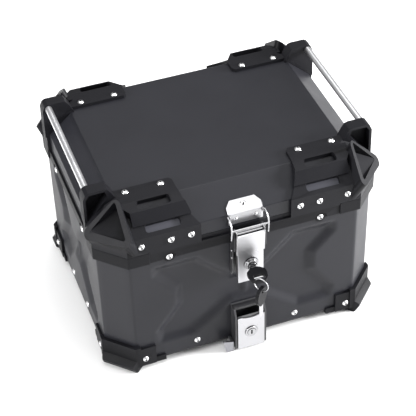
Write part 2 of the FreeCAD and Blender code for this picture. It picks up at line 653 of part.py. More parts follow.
def wire_path(points, radius):
    """A round wire through points, with a ball at each bend."""
    pieces = []
    for start, end in zip(points, points[1:]):
        pieces.append(rod(start, end - start, (end - start).Length, radius))
    pieces += [Part.makeSphere(radius, p) for p in points[1:-1]]
    return pieces[0].fuse(pieces[1:])


ARM = [(4.2, 239.2), (12, 238.2), (17.5, 234), (19.2, 226), (18.2, 216), (17.2, 208.6)]
arm_pieces = []
for sx in (-1, 1):
    arm = wire_path([V(sx * bail_x, FRONT - out, z) for out, z in ARM], wire)
    arm_pieces.append(arm.fuse(Part.makeSphere(wire, V(sx * bail_x, FRONT - ARM[-1][0], ARM[-1][1]))))
    arm_pieces.append(Part.makeSphere(wire, V(sx * bail_x, pivot.y, pivot.z)))
    arm_pieces.append(rod(V(sx * bail_x, pivot.y, pivot.z), X * -sx, 4, wire))
BEND_OUT, BEND_Z = ARM[3]
cross = rod(V(-bail_x, FRONT - BEND_OUT, BEND_Z), X, 2 * bail_x, wire)
coded("bail", cross.fuse(arm_pieces))

# ---------------------------------------------------------------- latch base on the body

latch_half = size("latch_half")
pin_out, pin_z = size("latch_pin_out"), size("latch_pin_z")
WALL_PROFILE = [(0, 132), (4, 132), (9, 142), (9, 179), (19.5, 188), (19.5, 211), (15, 218.5), (6, 218.5),
                (3.6, 214), (3.6, 191.8), (0, 191.8)]


def latch_base():
    shape = side_prism([(0, 132), (metal, 132), (metal, 191.8), (0, 191.8)], -latch_half, latch_half)
    for sx in (-1, 1):
        low, high = sorted((sx * latch_half, sx * (latch_half - metal)))
        shape = shape.fuse(side_prism(WALL_PROFILE, low, high))
    # hooked tab that the lock's cam turns behind
    tab = side_prism([(metal, 134), (9.5, 134), (9.5, 149), (8, 149), (8, 135.5), (metal, 135.5)], -7, 7)
    shape = shape.fuse(tab).removeSplitter()
    return shape.cut(rod(V(-40, FRONT - pin_out, pin_z), X, 80, 2.05))


coded("latch_base", latch_base())
body_rivets += [dome_rivet(V(sx * 13, FRONT - metal, z), -Y, 2.6, 1.2) for sx in (-1, 1) for z in (172, 184)]
body_rivets += [dome_rivet(V(-latch_half, FRONT - out, z), -X, 1.8, 1.1) for out, z in ((6.5, 180), (6.5, 166))]

pin_axis = rod(V(-latch_half - 0.4, FRONT - pin_out, pin_z), X, 2 * latch_half + 0.8, 2)
for end in (-1, 1):
    pin_axis = pin_axis.fuse(rod(V(end * (latch_half + 0.1), FRONT - pin_out, pin_z), X * end, 1.1, 3))
coded("latch_pin", pin_axis)

# ---------------------------------------------------------------- latch lever

lever_half, lever_low_half, lever_out = size("lever_half"), size("lever_low_half"), size("lever_out")
lock_z, lock_radius = size("lock_z"), size("lock_radius")


def latch_lever():
    face_low = side_prism([(lever_out - metal, 127), (lever_out, 127), (lever_out, 182), (lever_out - metal, 182)],
                          -lever_low_half, lever_low_half)
    face_high = side_prism([(lever_out - metal, 180), (lever_out, 180), (lever_out + 2, 214.5), (lever_out, 216),
                            (lever_out - metal, 213)], -lever_half, lever_half)
    shape = face_low.fuse(face_high)
    ear = [(lever_out + 1.2, 214), (lever_out, 182), (lever_out - metal, 181), (5, 196), (5, 212), (7.5, 220),
           (12, 222), (20, 221.5), (22.5, 217)]
    flange = [(lever_out, 128), (lever_out, 184), (12, 184), (9.8, 178), (9.8, 146), (14, 134)]
    for sx in (-1, 1):
        low, high = sorted((sx * lever_half, sx * (lever_half - metal)))
        shape = shape.fuse(side_prism(ear, low, high))
        low, high = sorted((sx * lever_low_half, sx * (lever_low_half - metal)))
        shape = shape.fuse(side_prism(flange, low, high))
    shape = shape.removeSplitter()
    shape = shape.cut(rod(V(-40, FRONT - pin_out, pin_z), X, 80, 2.05))
    return shape.cut(rod(V(0, FRONT - 5, lock_z), -Y, 30, 8))


coded("latch_lever", latch_lever())
coded("lever_rods", Part.makeCompound([
    rod(V(-lever_half + metal, FRONT - 13.5, 220.2), X, 2 * (lever_half - metal), 1.6),
    rod(V(-lever_half + metal, FRONT - 16.8, 216.9), X, 2 * (lever_half - metal), 1.3)]))

housing = rod(V(0, FRONT - lever_out, lock_z), -Y, 3, lock_radius)
housing = housing.fuse(rod(V(0, FRONT - 8, lock_z), -Y, 18, 8))
plug_radius = size("plug_radius")
housing = housing.cut(rod(V(0, FRONT - 7, lock_z), -Y, 30, plug_radius + 0.1))
coded("lock_housing", housing)
nut_corners = [V(11 * math.cos(k * math.pi / 3), FRONT - 13.5, lock_z + 11 * math.sin(k * math.pi / 3))
               for k in range(6)]
nut = prism(nut_corners, V(0, -4.8, 0)).cut(rod(V(0, FRONT - 5, lock_z), -Y, 30, 8))
coded("lock_nut", nut)

KEYWAY_HALF_WIDE, KEYWAY_HALF_HIGH = 4.2, 1.15
PLUG_END = 28.5
plug = rod(V(0, FRONT - 6.8, lock_z), -Y, PLUG_END - 6.8, plug_radius)
plug = plug.cut(box(-KEYWAY_HALF_WIDE, KEYWAY_HALF_WIDE, FRONT - 30, FRONT - 10,
                    lock_z - KEYWAY_HALF_HIGH, lock_z + KEYWAY_HALF_HIGH))
coded("lock_plug", plug)
cam = box(-4, 16.2, FRONT - 6.7, FRONT - 4.7, lock_z - 4, lock_z + 4)
cam = cam.fuse(rod(V(0, FRONT - 4.7, lock_z), -Y, 2, 5.5)).removeSplitter()
coded("lock_cam", cam)

# ---------------------------------------------------------------- keys

key_thick = size("key_thick")
HEAD_START, HEAD_END, HEAD_HALF = 35, 60.5, 14
RING_HOLE_HALF, WEB = 8, 2.6
WEB_MIDDLE = HEAD_END - WEB / 2


def key_head_plan():
    """Half of the head's outline as (sideways, out)."""
    return [(5, HEAD_START - 3), (9, HEAD_START), (HEAD_HALF - 0.5, HEAD_START + 4), (HEAD_HALF, HEAD_START + 11),
            (11.5, HEAD_END - 5), (7, HEAD_END)]


def key_plate(z0, z1):
    half = key_head_plan()
    corners = half + [(-x, out) for x, out in half[::-1]]
    return plan_prism([(x, FRONT - out) for x, out in corners], z0, z1)


head = key_plate(lock_z - key_thick / 2, lock_z + key_thick / 2)
edges = [e for e in head.Edges if abs(e.tangentAt(e.FirstParameter).z) > 0.9]
head = head.makeFillet(2.2, edges)
hole_start = HEAD_END - WEB - 10.5
head = head.cut(slot_prism(-RING_HOLE_HALF, RING_HOLE_HALF, FRONT - HEAD_END + WEB, FRONT - hole_start,
                           lock_z - 5, lock_z + 5, 3))
BLADE_HALF_WIDE, BLADE_HALF_THICK, BLADE_IN = 3.9, 0.95, 11
coded("key_head", head)
blade = box(-BLADE_HALF_WIDE, BLADE_HALF_WIDE, FRONT - HEAD_START + 3, FRONT - BLADE_IN,
            lock_z - BLADE_HALF_THICK, lock_z + BLADE_HALF_THICK)
coded("key_blade", blade)

ring_radius, ring_wire = size("ring_radius"), size("ring_wire")
RING_YAW = 40
ring_drop = ring_radius - ring_wire - key_thick / 2 - 0.3
ring_centre = V(0, FRONT - WEB_MIDDLE, lock_z - ring_drop)
across_ring = V(math.sin(math.radians(RING_YAW)), -math.cos(math.radians(RING_YAW)), 0)
ring_axis = V(math.cos(math.radians(RING_YAW)), math.sin(math.radians(RING_YAW)), 0)
torus = Part.makeTorus(ring_radius, ring_wire, ring_centre, ring_axis)
coded("key_ring", torus)

SPARE_HALF, SPARE_HEIGHT, SPARE_THICK = 13, 30, 5
wire_low = ring_centre - Z * ring_radius
SPARE_HOLE = 2.6
spare_top = wire_low.z + SPARE_HOLE + 1.6


def spare_point(sideways, drop, off):
    """A point of the spare key, which hangs in the plane square to the ring."""
    return V(wire_low.x, wire_low.y, spare_top - drop) + ring_axis * sideways + across_ring * off


half = [(5, 0), (10.5, 4), (SPARE_HALF, 11), (SPARE_HALF - 0.5, 20), (8, 27), (5, SPARE_HEIGHT)]
outline_points = half + [(-s, d) for s, d in half[::-1]]
spare = prism([spare_point(s, d, -SPARE_THICK / 2) for s, d in outline_points], across_ring * SPARE_THICK)
edges = [e for e in spare.Edges if abs(e.tangentAt(e.FirstParameter).dot(across_ring)) > 0.9]
spare = spare.makeFillet(2, edges)
hole_axis_start = wire_low - across_ring * 8 - Z * (SPARE_HOLE - ring_wire - 0.3)
spare = spare.cut(rod(hole_axis_start, across_ring, 16, SPARE_HOLE))
coded("spare_key_head", spare)
spare_blade = prism([spare_point(s, d, -0.95) for s, d in
                     [(-3.9, SPARE_HEIGHT), (3.9, SPARE_HEIGHT), (3.9, 50), (1, 54), (-3.9, 52)]],
                    across_ring * 1.9)
coded("spare_key_blade", spare_blade)

# ---------------------------------------------------------------- release lock at the foot

release_half, release_out = size("release_half"), size("release_out")
release_low, release_high = size("release_low"), size("release_high")
release_pivot = V(0, FRONT - size("release_pivot_out"), size("release_pivot_z"))
release_lock_z = size("release_lock_z")


def release_housing():
    """Black bracket on the wall: back plate, two cheeks and a hood over the finger gap."""
    shape = side_prism([(0, -9), (3, -9), (3, 70), (0, 70)], -24, 24)
    cheek = [(0, -9), (16.5, -9), (18.5, -6), (18.5, 56), (12, 68), (0, 70)]
    for sx in (-1, 1):
        low, high = sorted((sx * 24, sx * 21.2))
        shape = shape.fuse(side_prism(cheek, low, high))
    hood = side_prism([(3, 62), (8, 62), (10.5, 64.5), (10.5, 68.4), (3, 69.6)], -22, 22)
    shape = shape.fuse(hood).removeSplitter()
    return shape.cut(rod(release_pivot - X * 40, X, 80, 1.55))


coded("release_housing", release_housing())


def release_plate():
    face = side_prism([(release_out - 2, release_low), (release_out, release_low), (release_out, release_high),
                       (release_out - 2, release_high)], -release_half, release_half)
    scoop_radius = 40
    face = face.cut(rod(V(0, FRONT - 10, release_high + scoop_radius - 3.2), -Y, 20, scoop_radius))
    lip = side_prism([(14, release_high - 4), (release_out - 1, release_high - 9), (release_out - 1, release_high - 7),
                      (15.2, release_high - 1), (14, release_high - 1)], -release_half + 1, release_half - 1)
    cheek = [(release_out - 1, release_low), (11.5, release_low), (11, -1.5), (release_out - 1, 46)]
    for sx in (-1, 1):
        low, high = sorted((sx * release_half, sx * (release_half - 2)))
        face = face.fuse(side_prism(cheek, low, high))
    shape = face.fuse(lip).removeSplitter()
    shape = shape.cut(rod(release_pivot - X * 40, X, 80, 1.55))
    return shape.cut(rod(V(0, FRONT - 5, release_lock_z), -Y, 30, 8))


coded("release_plate", release_plate())
release_pin = rod(release_pivot - X * 24.4, X, 48.8, 1.5)
for end in (-1, 1):
    release_pin = release_pin.fuse(rod(release_pivot + X * (end * 24.1), X * end, 1, 2.3))
coded("release_pin", release_pin)

lower_housing = rod(V(0, FRONT - 7.5, release_lock_z), -Y, release_out - 7.5 + 0.1, 8)
lower_housing = lower_housing.fuse(rod(V(0, FRONT - release_out, release_lock_z), -Y, 1.6, 9.5))
lower_housing = lower_housing.cut(rod(V(0, FRONT - 5, release_lock_z), -Y, 30, plug_radius + 0.1))
coded("release_lock_housing", lower_housing)
lower_plug = rod(V(0, FRONT - 6.6, release_lock_z), -Y, release_out - 6.6 + 2.2, plug_radius)
lower_plug = lower_plug.cut(box(-KEYWAY_HALF_HIGH, KEYWAY_HALF_HIGH, FRONT - 30, FRONT - 10,
                                release_lock_z - KEYWAY_HALF_WIDE, release_lock_z + KEYWAY_HALF_WIDE))
coded("release_plug", lower_plug)
lower_cam = box(-12, 4, FRONT - 6.5, FRONT - 4.5, release_lock_z - 3.5, release_lock_z + 3.5)
coded("release_cam", lower_cam)

# hook under the floor that the release plate draws back, and its fixed side bracket
HOOK_PIVOT = V(0, FRONT + 12, -4.5)
hook_section = [(-15.5, -1.4), (-4, -1.4), (-1, -3), (-1, -8), (-5, -10.5), (-5, -7.5), (-15.5, -7.5)]
hook = side_prism(hook_section, -14, 14).cut(rod(HOOK_PIVOT - X * 40, X, 80, 2.05))
coded("rack_hook", hook)
hook_pin = rod(HOOK_PIVOT - X * 18.5, X, 37, 2)
coded("rack_hook_pin", hook_pin)
bearers = []
for sx in (-1, 1):
    low, high = sorted((sx * 15, sx * 18))
    block = side_prism([(-18, 0), (-6, 0), (-6, -8), (-18, -8)], low, high)
    bearers.append(block.cut(rod(HOOK_PIVOT - X * 40, X, 80, 2)))
coded("rack_hook_bearers", Part.makeCompound(bearers))
bracket_plan = [(-42, 10), (-26, 6), (-26, -12.6), (-37, -12.6)]
bracket = prism([V(x, FRONT - 15.5, z) for x, z in bracket_plan], V(0, 3, 0))
bracket = bracket.fuse(box(-29, -26, FRONT - 15.5, FRONT, -7, 5)).removeSplitter()
coded("release_bracket", bracket)

# ---------------------------------------------------------------- fastener groups

FLOOR_RIVET_X, FLOOR_RIVET_Y = 62, 158
coded("wall_screws", Part.makeCompound([button_screw(p, d, SHANK_DEPTH) for p, d in rim_seats + low_seats]))
coded("foot_screws", Part.makeCompound([button_screw(p, d, 7) for p, d in foot_seats]))
lid_screws = [button_screw(p, d, 7) for p, d in all_guard_seats]
lid_screws.append(button_screw(keeper_seat[0], keeper_seat[1], 3))
coded("lid_screws", Part.makeCompound(lid_screws))
body_rivets += [dome_rivet(V(sx * FLOOR_RIVET_X, sy * FLOOR_RIVET_Y, 0), -Z, 4, 2.4)
                for sx in (-1, 1) for sy in (-1, 1)]
coded("body_rivets", Part.makeCompound(body_rivets))

# ---------------------------------------------------------------- checks and export

doc.recompute()
for obj in doc.Objects:
    if "Invalid" in obj.State or "Error" in obj.State:
        raise RuntimeError(f"{obj.Label}: {obj.State}")
labels = [part.Label for part in sub_parts]
if len(set(labels)) != len(labels):
    raise RuntimeError("two sub-parts share a name")
for part in sub_parts:
    if part.Shape.isNull() or not part.Shape.isValid():
        raise RuntimeError(f"{part.Label}: the shape is not valid")
    if not part.Shape.Solids:
        raise RuntimeError(f"{part.Label}: there is no solid")

os.makedirs("parts", exist_ok=True)
for part in sub_parts:
    part.Shape.exportStep(os.path.join("parts", part.Label + ".step"))
    box_now = part.Shape.BoundBox
    print(f"{part.Label:28s} solids {len(part.Shape.Solids):2d} volume {part.Shape.Volume / 1000:8.2f} cm3 "
          f"x {box_now.XMin:7.1f} {box_now.XMax:6.1f} y {box_now.YMin:7.1f} {box_now.YMax:6.1f} "
          f"z {box_now.ZMin:6.1f} {box_now.ZMax:6.1f}")
print(len(sub_parts), "sub-parts")
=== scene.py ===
"""Looks of the motorcycle top case: graphite sheet-metal shell with a pressed relief,
moulded black guards, bright bars, latch, locks and keys. Metres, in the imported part's frame.
"""
import json
import math

import bmesh
import bpy
from mathutils import Matrix, Vector


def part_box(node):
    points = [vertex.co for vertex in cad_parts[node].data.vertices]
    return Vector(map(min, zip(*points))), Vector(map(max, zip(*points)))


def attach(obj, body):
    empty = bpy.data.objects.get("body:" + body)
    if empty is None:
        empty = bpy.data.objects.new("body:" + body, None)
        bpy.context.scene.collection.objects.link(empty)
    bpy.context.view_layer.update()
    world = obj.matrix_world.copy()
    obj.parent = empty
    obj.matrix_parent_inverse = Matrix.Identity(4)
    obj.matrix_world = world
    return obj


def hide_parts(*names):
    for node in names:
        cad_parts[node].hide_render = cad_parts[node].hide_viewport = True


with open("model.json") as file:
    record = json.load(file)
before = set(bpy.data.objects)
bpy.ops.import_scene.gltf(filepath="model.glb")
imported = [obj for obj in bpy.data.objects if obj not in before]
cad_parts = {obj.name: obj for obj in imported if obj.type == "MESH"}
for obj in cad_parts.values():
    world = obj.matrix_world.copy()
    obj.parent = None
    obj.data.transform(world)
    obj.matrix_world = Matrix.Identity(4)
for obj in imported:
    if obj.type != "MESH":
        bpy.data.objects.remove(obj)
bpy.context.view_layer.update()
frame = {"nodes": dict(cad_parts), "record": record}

MM = 0.001
nodes = frame["nodes"]

# ---------------------------------------------------------------- places read from the frame

wall_low, wall_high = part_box("body_wall")
MIDDLE_Y = (wall_low.y + wall_high.y) / 2
BASE_Z = wall_low.z
HALF_WIDTH = (wall_high.x - wall_low.x) / 2
HALF_DEPTH = (wall_high.y - wall_low.y) / 2
WALL_HEIGHT = wall_high.z - wall_low.z

# ---------------------------------------------------------------- sizes of the folded sheets

SHEET = 2 * MM
CORNER_CUT = 36 * MM
CUT_SHRINK = 2 - math.sqrt(2)  # how much shorter a corner cut's leg is, per unit of inset
PANEL_HALF_X, PANEL_HALF_Y, PANEL_CUT = 170.6 * MM, 128 * MM, 20 * MM
BEVEL_RISE = 31.2 * MM  # height of the lid's bevel, from its fold to the top panel

# ---------------------------------------------------------------- material helpers


class Nodes:
    """A material's node tree with short calls for the nodes that are used often."""

    def __init__(self, name):
        self.material = bpy.data.materials.new(name)
        self.material.use_nodes = True
        self.tree = self.material.node_tree
        self.shader = self.tree.nodes["Principled BSDF"]
        self.place = self.add("ShaderNodeTexCoord").outputs["Object"]
        self.normal = None

    def add(self, kind, **settings):
        node = self.tree.nodes.new(kind)
        for name, value in settings.items():
            setattr(node, name, value)
        return node

    def link(self, output, socket):
        self.tree.links.new(output, socket)

    def surface(self, **values):
        """Uniform values, set straight on the shader's sockets."""
        for name, value in values.items():
            self.shader.inputs[name.replace("_", " ")].default_value = value

    def mapped(self, stretch):
        mapping = self.add("ShaderNodeMapping")
        mapping.inputs["Scale"].default_value = stretch
        self.link(self.place, mapping.inputs["Vector"])
        return mapping.outputs["Vector"]

    def noise(self, scale, detail=3.0, rough=0.55, stretch=(1, 1, 1)):
        node = self.add("ShaderNodeTexNoise")
        node.inputs["Scale"].default_value = scale
        node.inputs["Detail"].default_value = detail
        node.inputs["Roughness"].default_value = rough
        self.link(self.mapped(stretch), node.inputs["Vector"])
        return node.outputs["Fac"]

    def spread(self, value, low, high, to_low, to_high):
        """A value mapped from one range to another."""
        node = self.add("ShaderNodeMapRange")
        node.inputs["From Min"].default_value = low
        node.inputs["From Max"].default_value = high
        node.inputs["To Min"].default_value = to_low
        node.inputs["To Max"].default_value = to_high
        self.link(value, node.inputs["Value"])
        return node.outputs["Result"]

    def blend_colours(self, fac, first, second):
        """A mix of two colours, each a tuple or another node's output."""
        node = self.add("ShaderNodeMix", data_type="RGBA")
        for socket, colour in ((node.inputs[6], first), (node.inputs[7], second)):
            if isinstance(colour, tuple):
                socket.default_value = (*colour, 1)
            else:
                self.link(colour, socket)
        self.link(fac, node.inputs[0])
        return node.outputs[2]

    def edges(self, low, high):
        """One along convex edges, zero on flats."""
        pointed = self.add("ShaderNodeNewGeometry").outputs["Pointiness"]
        return self.spread(pointed, low, high, 0, 1)

    def crevices(self, reach):
        """One in the open, falling towards zero in sockets and tight gaps."""
        node = self.add("ShaderNodeAmbientOcclusion", samples=8)
        node.inputs["Distance"].default_value = reach
        return node.outputs["AO"]

    def bump(self, height, strength, distance):
        """A bump laid over any bump that was added before it."""
        node = self.add("ShaderNodeBump")
        node.inputs["Strength"].default_value = strength
        node.inputs["Distance"].default_value = distance
        self.link(height, node.inputs["Height"])
        if self.normal:
            self.link(self.normal, node.inputs["Normal"])
        self.normal = node.outputs["Normal"]
        self.link(self.normal, self.shader.inputs["Normal"])

    def colour(self, output):
        self.link(output, self.shader.inputs["Base Color"])

    def roughness(self, output):
        self.link(output, self.shader.inputs["Roughness"])


# ---------------------------------------------------------------- materials

FAC_RANGE = (0.3, 0.7)  # the part of a noise's range that most of its surface falls in
PAINT_SPECULAR, PLASTIC_SPECULAR = 0.2, 0.1
CREVICE_REACH = 3 * MM
# colour of the painted shade in sockets and tight gaps, where ambient occlusion finds them
CREVICE_SHADE = (0.02, 0.02, 0.022)


def toned(tone, *colour):
    return tuple(tone * value for value in colour)


def painted_shell(name="graphite_powder_coat", tone=1.0):
    """Graphite powder coat: soft clouds, fine lighter specks and an orange-peel bump."""
    m = Nodes(name)
    m.surface(Specular_IOR_Level=PAINT_SPECULAR)
    clouds = m.noise(14, 4)
    base = m.blend_colours(clouds, toned(tone, 0.0135, 0.0137, 0.0168),
                           toned(tone, 0.0175, 0.0178, 0.022))
    specks = m.spread(m.noise(2600, 2), 0.62, 0.78, 0, 0.5)
    m.colour(m.blend_colours(specks, base, (0.05, 0.05, 0.058)))
    m.roughness(m.spread(clouds, *FAC_RANGE, 0.36, 0.44))
    m.bump(m.noise(1500, 3, 0.6), 0.12, 0.3 * MM)
    m.bump(m.noise(60, 2), 0.05, 1 * MM)
    return m.material


def black_plastic(name="black_nylon", tone=1.0, shine=0.46):
    """Moulded plastic with a fine grain and slightly lighter edges, partly wear and partly a
    painted highlight.
    """
    m = Nodes(name)
    m.surface(Specular_IOR_Level=PLASTIC_SPECULAR)
    patches = m.noise(26, 3)
    base = m.blend_colours(patches, toned(tone, 0.0028, 0.0028, 0.0035),
                           toned(tone, 0.0045, 0.0045, 0.0056))
    # lighter convex edges: partly wear, partly a painted edge highlight
    m.colour(m.blend_colours(m.edges(0.505, 0.56), base, (0.010, 0.010, 0.012)))
    m.roughness(m.spread(patches, *FAC_RANGE, shine - 0.05, shine + 0.05))
    m.bump(m.noise(1900, 2, 0.7), 0.3, 0.3 * MM)
    return m.material


def bright_metal(name, colour, rough, brushed=(1, 1, 1), scratch=0.06, crevice=(0.35, 0.75)):
    """Polished or plated metal with faint smears, fine brushing and painted shade darkening its
    sockets and tight gaps.
    """
    m = Nodes(name)
    m.surface(Metallic=1.0)
    smear = m.noise(45, 3)
    metal_colour = m.blend_colours(smear, toned(0.96, *colour), colour)
    # painted shade: the colour turns dark where ambient occlusion finds sockets and tight gaps
    open_air = m.spread(m.crevices(CREVICE_REACH), *crevice, 0, 1)
    m.colour(m.blend_colours(open_air, CREVICE_SHADE, metal_colour))
    m.roughness(m.spread(smear, *FAC_RANGE, rough * 0.9, rough * 1.12))
    m.bump(m.noise(1400, 2, 0.5, brushed), scratch, 0.2 * MM)
    return m.material


def black_steel():
    m = Nodes("black_coated_steel")
    patches = m.noise(70, 3)
    base = m.blend_colours(patches, (0.008, 0.008, 0.009), (0.016, 0.016, 0.018))
    m.colour(m.blend_colours(m.edges(0.52, 0.6), base, (0.09, 0.09, 0.095)))
    m.roughness(m.spread(patches, *FAC_RANGE, 0.3, 0.42))
    m.bump(m.noise(900, 2), 0.1, 0.2 * MM)
    return m.material


def rubber():
    m = Nodes("seal_rubber")
    patches = m.noise(120, 2)
    m.colour(m.blend_colours(patches, (0.006, 0.006, 0.006), (0.012, 0.012, 0.012)))
    m.roughness(m.spread(patches, *FAC_RANGE, 0.65, 0.8))
    m.bump(m.noise(1500, 2), 0.2, 0.2 * MM)
    return m.material


BRUSHED_ALONG_Y, BRUSHED_ALONG_Z = (1, 0.02, 1), (1, 1, 0.03)
MATERIALS = {
    "painted_shell": painted_shell(),
    "black_plastic": black_plastic(),
    "gasket_rubber": rubber(),
    "plain_steel": bright_metal("zinc_sheet", (0.55, 0.56, 0.58), 0.38),
    "bright_bar": bright_metal("anodised_bar", (0.93, 0.93, 0.95), 0.34, BRUSHED_ALONG_Y, 0.12),
    "black_steel": black_steel(),
    "dark_bracket": bright_metal("dark_bracket", (0.30, 0.30, 0.32), 0.4),
    "bright_steel": bright_metal("stainless_sheet", (0.50, 0.50, 0.515), 0.3,
                                 BRUSHED_ALONG_Z, 0.02, (0.45, 0.85)),
    "lock_chrome": bright_metal("lock_plating", (0.42, 0.42, 0.43), 0.22, crevice=(0.5, 0.9)),
    "screw_zinc": bright_metal("screw_zinc", (0.93, 0.93, 0.94), 0.3, crevice=(0.62, 0.9)),
    "key_plastic": black_plastic("key_grip_plastic", 0.8, 0.36),
}

# ---------------------------------------------------------------- mesh helpers


def made(name, verts, faces, slot, body, material=None, smooth=True):
    """A new piece from points and faces, in its slot's material unless it has its own."""
    mesh = bpy.data.meshes.new(name)
    mesh.from_pydata([tuple(v) for v in verts], [], faces)
    mesh.update()
    piece = bpy.data.objects.new(name, mesh)
    bpy.context.scene.collection.objects.link(piece)
    dress(piece, material or MATERIALS[slot])
    for polygon in mesh.polygons:
        polygon.use_smooth = smooth
    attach(piece, body)
    return piece


def dress(piece, material):
    piece.data.materials.clear()
    piece.data.materials.append(material)


def face_outwards(piece):
    mesh = bmesh.new()
    mesh.from_mesh(piece.data)
    bmesh.ops.recalc_face_normals(mesh, faces=mesh.faces)
    mesh.to_mesh(piece.data)
    mesh.free()


def soften(piece, width, segments=2, angle=28):
    """Merged corners and small rounded edges, as modifiers so that the mesh itself stays."""
    weld = piece.modifiers.new("weld", "WELD")
    weld.merge_threshold = 0.01 * MM
    bevel = piece.modifiers.new("bevel", "BEVEL")
    bevel.width = width
    bevel.segments = segments
    bevel.limit_method = "ANGLE"
    bevel.angle_limit = math.radians(angle)
    bevel.harden_normals = False
    bevel.use_clamp_overlap = True
    normal = piece.modifiers.new("normals", "WEIGHTED_NORMAL")
    normal.keep_sharp = False


# ---------------------------------------------------------------- body wall with its pressed relief

RELIEF_LOW, RELIEF_HIGH = 34 * MM, 173 * MM
RELIEF_DEPTH = 7 * MM
RAMP = 14 * MM
STRAIGHT_SHARE = 0.7  # how much of the ramp's profile is straight, the rest being an S curve
TIP_MARGIN, NOTCH_MARGIN = 38 * MM, 70 * MM  # from a face's side edge to the arms and the notch
TIP_CHAMFER = 3 * MM
GRID, CUT_GRID = 3 * MM, 9 * MM  # mesh size on the pressed faces and on the corner cuts
FOLD_RADIUS = 1.5 * MM
FACE_KINDS = ("cut", "side", "cut", "front") * 2


def relief_outline(half, low, high):
    """Half of the X-shaped recess in a face: four arms with a notch on every side."""
    tip = half - TIP_MARGIN
    notch = half - NOTCH_MARGIN
    span = high - low
    return [(0, low + 0.34 * span), (0.17 * tip, low + 0.34 * span), (0.62 * tip, low),
            (tip - TIP_CHAMFER, low), (tip, low + 0.12 * span), (notch, low + 0.44 * span),
            (notch, low + 0.68 * span), (tip, low + 0.92 * span), (tip, high), (0.55 * tip, high),
            (0.14 * tip, low + 0.62 * span), (0, low + 0.62 * span)]


def distance_to(point, outline):
    """Signed distance from a polygon: below zero inside it."""
    x, z = point
    nearest, inside = 1.0, False
    for (ax, az), (bx, bz) in zip(outline, outline[1:] + outline[:1]):
        dx, dz = bx - ax, bz - az
        along = max(0, min(1, ((x - ax) * dx + (z - az) * dz) / (dx * dx + dz * dz)))
        nearest = min(nearest, math.hypot(x - ax - along * dx, z - az - along * dz))
        if (az > z) != (bz > z) and x < ax + (z - az) * dx / dz:
            inside = not inside
    return -nearest if inside else nearest


def sunk(across, height, outline):
    """How far the sheet is pressed in at a place on a face."""
    far = distance_to((abs(across), height), outline)
    t = max(0, min(1, 0.5 - far / RAMP))
    s_curve = t * t * (3 - 2 * t)
    return RELIEF_DEPTH * (STRAIGHT_SHARE * t + (1 - STRAIGHT_SHARE) * s_curve)


def cornered(half_x, half_y, cut):
    """A rectangle with cut corners, from the front edge's right end and round by the right side."""
    return [(half_x - cut, -half_y), (half_x, cut - half_y), (half_x, half_y - cut),
            (half_x - cut, half_y), (cut - half_x, half_y), (-half_x, half_y - cut),
            (-half_x, cut - half_y), (cut - half_x, -half_y)]


def wall_path(inset):
    """The wall's plan as (point, outward normal, place across its face, face kind), all round."""
    corners = [Vector(corner) for corner in
               cornered(HALF_WIDTH - inset, HALF_DEPTH - inset, CORNER_CUT - CUT_SHRINK * inset)]
    steps = {"front": round(2 * (HALF_WIDTH - CORNER_CUT) / GRID),
             "side": round(2 * (HALF_DEPTH - CORNER_CUT) / GRID),
             "cut": round(CORNER_CUT * math.sqrt(2) / CUT_GRID)}
    path = []
    for kind, start, end in zip(FACE_KINDS, corners, corners[1:] + corners[:1]):
        way = (end - start).normalized()
        normal = Vector((way.y, -way.x))
        first, last = start + way * FOLD_RADIUS, end - way * FOLD_RADIUS
        middle = (start + end) / 2
        for step in range(steps[kind] + 1):
            point = first.lerp(last, step / steps[kind])
            path.append((point, normal, (point - middle).dot(way), kind))
    return path


def body_wall():
    """The wall's sheet, pressed in on its four faces: two skins joined at both rims."""
    rows = round(WALL_HEIGHT / GRID)
    heights = [WALL_HEIGHT * k / rows for k in range(rows + 1)]
    outlines = {"front": relief_outline(HALF_WIDTH - CORNER_CUT, RELIEF_LOW, RELIEF_HIGH),
                "side": relief_outline(HALF_DEPTH - CORNER_CUT, RELIEF_LOW, RELIEF_HIGH)}
    outer, inner = wall_path(0), wall_path(SHEET)
    verts = []
    for path in (outer, inner):
        for height in heights:
            for (point, normal, _, kind), (_, _, across, _) in zip(path, outer):
                depth = sunk(across, height, outlines[kind]) if kind in outlines else 0
                spot = point - normal * depth
                verts.append((spot.x, spot.y + MIDDLE_Y, BASE_Z + height))
    count = len(outer)
    layer = count * (rows + 1)
    top = count * rows
    faces = []
    for row in range(rows):
        for k in range(count):
            after = (k + 1) % count
            a, b = row * count + k, row * count + after
            faces.append((a, b, b + count, a + count))
            faces.append((layer + b, layer + a, layer + a + count, layer + b + count))
    for k in range(count):
        after = (k + 1) % count
        faces.append((k, layer + k, layer + after, after))
        faces.append((top + after, layer + top + after, layer + top + k, top + k))
    piece = made("body_wall_pressed", verts, faces, "painted_shell", "case")
    piece.modifiers.new("normals", "WEIGHTED_NORMAL")
    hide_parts("body_wall")


body_wall()

# ---------------------------------------------------------------- lid shell folded from one sheet

LID_FOLD = 1.6 * MM
FOLD_DROP = 0.47  # how much lower the inner skin's bevel fold sits, per unit of inset
PANEL_INSET = (0.38, 0.35, 0.3)  # how much smaller the inner panel's half sizes and cut are
LID_SIDES = 8


def lid_ring(half_x, half_y, cut, z):
    """One closed row of the lid's corners at a height."""
    return [(x, y + MIDDLE_Y, z) for x, y in cornered(half_x, half_y, cut)]


